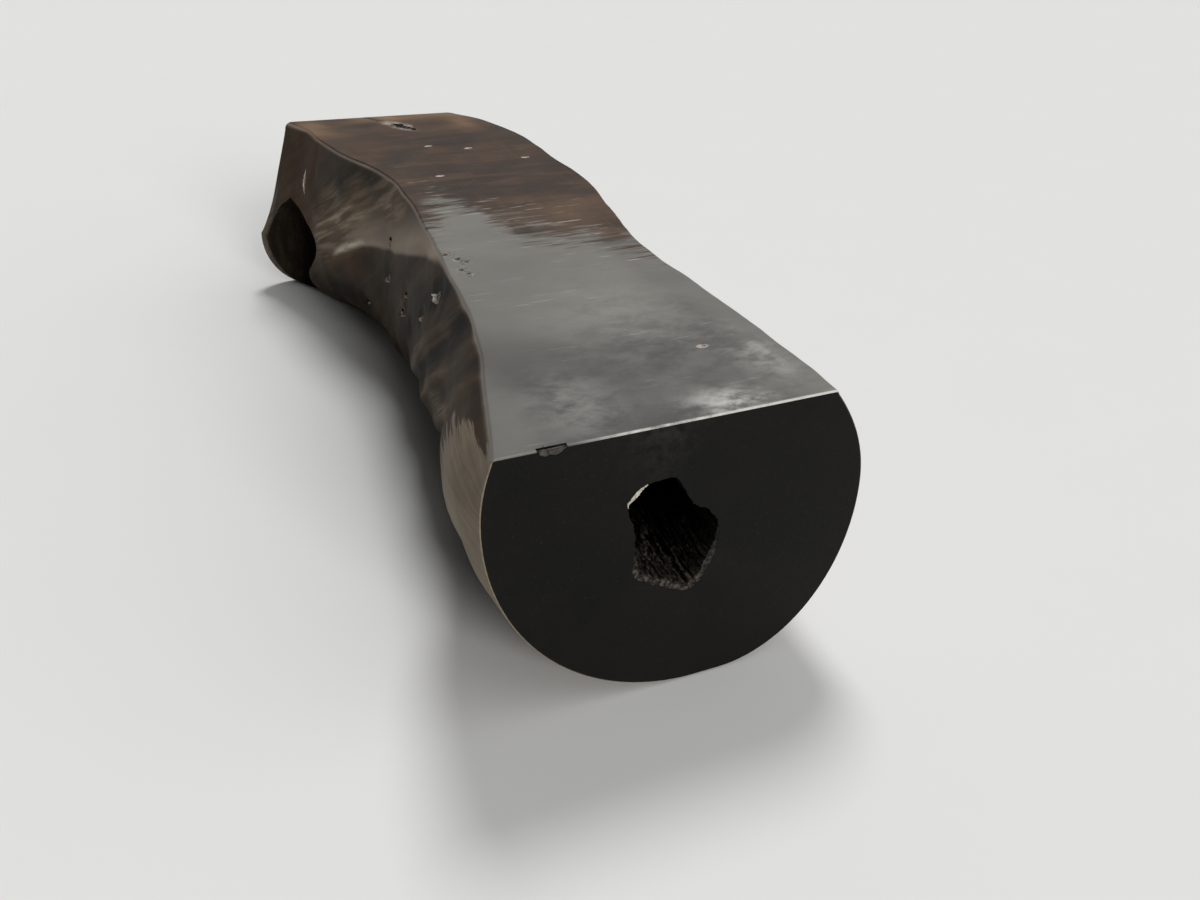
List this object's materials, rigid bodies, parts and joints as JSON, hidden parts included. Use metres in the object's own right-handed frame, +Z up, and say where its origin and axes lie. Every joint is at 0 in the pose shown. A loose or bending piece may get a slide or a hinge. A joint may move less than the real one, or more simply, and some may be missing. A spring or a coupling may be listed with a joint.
{
  "type": "live edge bench",
  "caption": "Low bench made of one hollow log with a sawn flat seat, live sides, sawn ends and felt glides.",
  "frame": {"origin": "middle of the bounding box, on the floor under the glides", "axes": "+X across the seat to the right as seen from the sawn end with the big heart hollow, +Y along the log from that end to the far end, +Z up from the floor"},
  "size_m": [0.6866, 1.9296, 0.44],
  "materials": {
    "dark_oiled_wood": "dark oiled and burnished wood, satin",
    "charred_wood": "charred, crumbly and matt",
    "raw_wood": "raw, split and matt",
    "dead_knot_wood": "dry dead knot wood",
    "pin_knot_wood": "satin",
    "dark_filler": "dark wax filler",
    "grey_filler": "grey-brown wax filler",
    "felt": "pressed felt",
    "zinc_screw": "zinc plated"
  },
  "bodies": {
    "root": {"trunk": "dark_oiled_wood", "heart_crust": "charred_wood", "rim_sliver": "raw_wood", "side_knots": "dead_knot_wood", "pin_knots": "pin_knot_wood", "crack_fill": "dark_filler", "chip_fill": "grey_filler", "near_left_glide": "felt", "near_right_glide": "felt", "far_left_glide": "felt", "far_right_glide": "felt", "glide_screws": "zinc_screw"}
  },
  "joints": []
}
